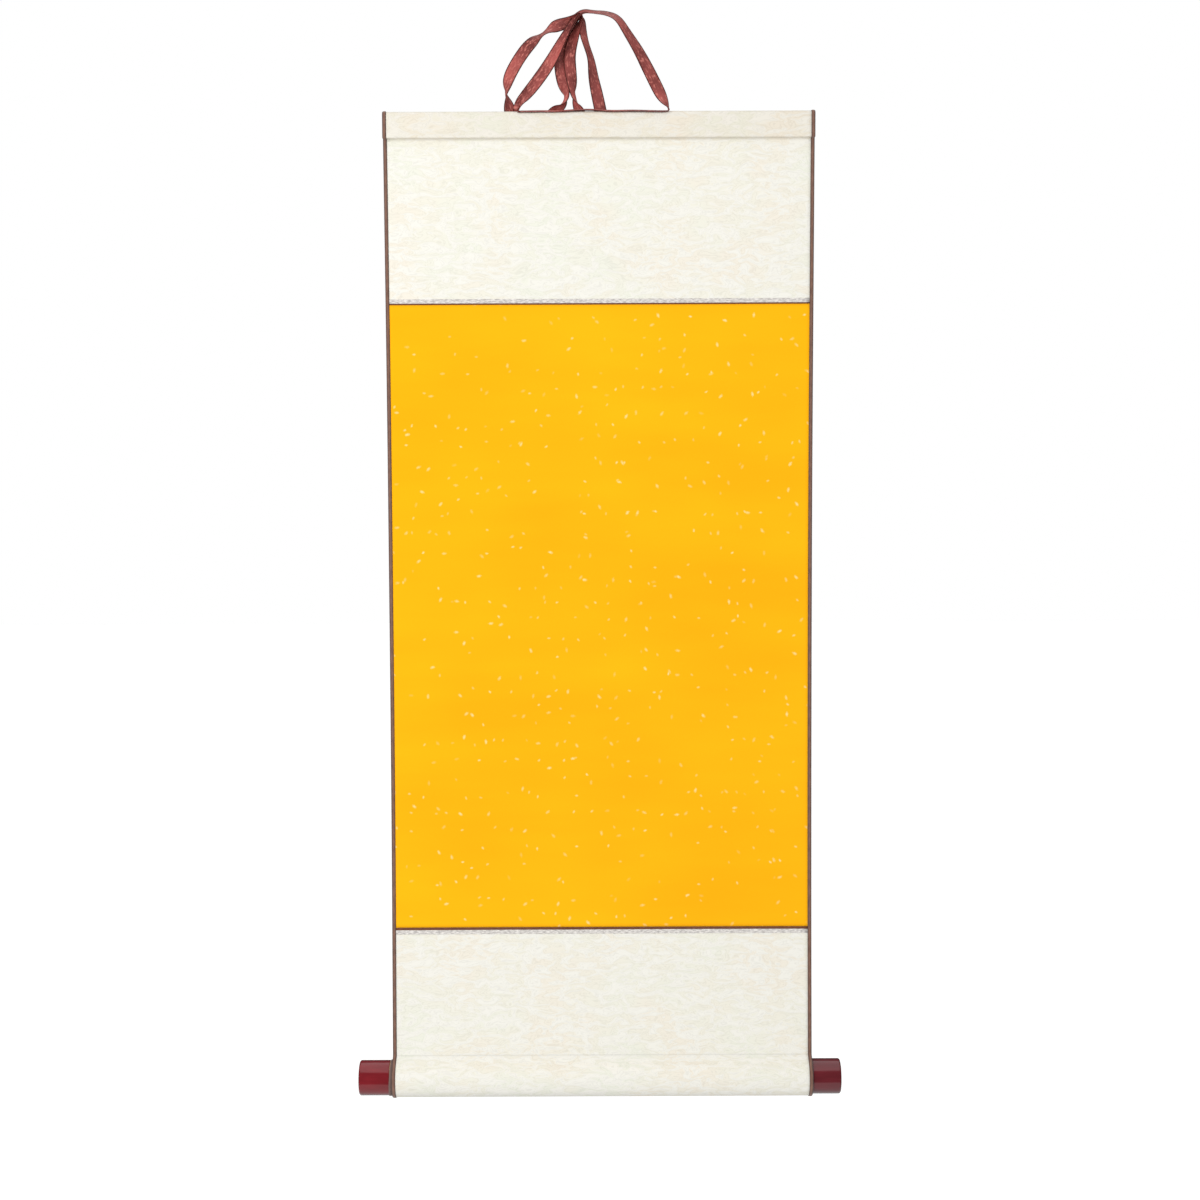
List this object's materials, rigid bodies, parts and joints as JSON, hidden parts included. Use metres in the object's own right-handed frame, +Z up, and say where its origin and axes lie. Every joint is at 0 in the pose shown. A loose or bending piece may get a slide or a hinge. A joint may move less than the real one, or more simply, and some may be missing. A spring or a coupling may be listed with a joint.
{
  "type": "hanging paper scroll",
  "caption": "Blank hanging scroll: gold-flecked yellow paper in ivory brocade panels, with a slat at the top, a knobbed roller at the bottom and a hanging ribbon.",
  "frame": {"origin": "top of the nail or hook that the ribbons hang on, 11.7 mm left of the sheet's centre line and 67.7 mm above the top of the hem", "axes": "+X to the right along the roller, +Y to the back (towards a wall), +Z up; the written face looks along -Y"},
  "size_m": [0.3457, 0.0276, 0.7669],
  "materials": {
    "lining_paper": "matt",
    "gold_flecked_paper": "matt with pale gold flecks",
    "ivory_brocade": "damask woven silk",
    "silver_brocade_strip": "mottled silver",
    "brown_edging": "matt",
    "bare_wood": "sanded",
    "red_lacquer": "gloss lacquer",
    "red_satin_ribbon": "satin"
  },
  "bodies": {
    "root": {"backing_paper": "lining_paper", "painting_paper": "gold_flecked_paper", "upper_brocade": "ivory_brocade", "lower_brocade": "ivory_brocade", "upper_silver_strip": "silver_brocade_strip", "lower_silver_strip": "silver_brocade_strip", "upper_brown_line": "brown_edging", "lower_brown_line": "brown_edging", "left_edge_binding": "brown_edging", "right_edge_binding": "brown_edging", "top_slat": "bare_wood", "bottom_roller": "bare_wood", "left_knob": "red_lacquer", "right_knob": "red_lacquer", "hanging_ribbon": "red_satin_ribbon", "tie_ribbon": "red_satin_ribbon"}
  },
  "joints": []
}
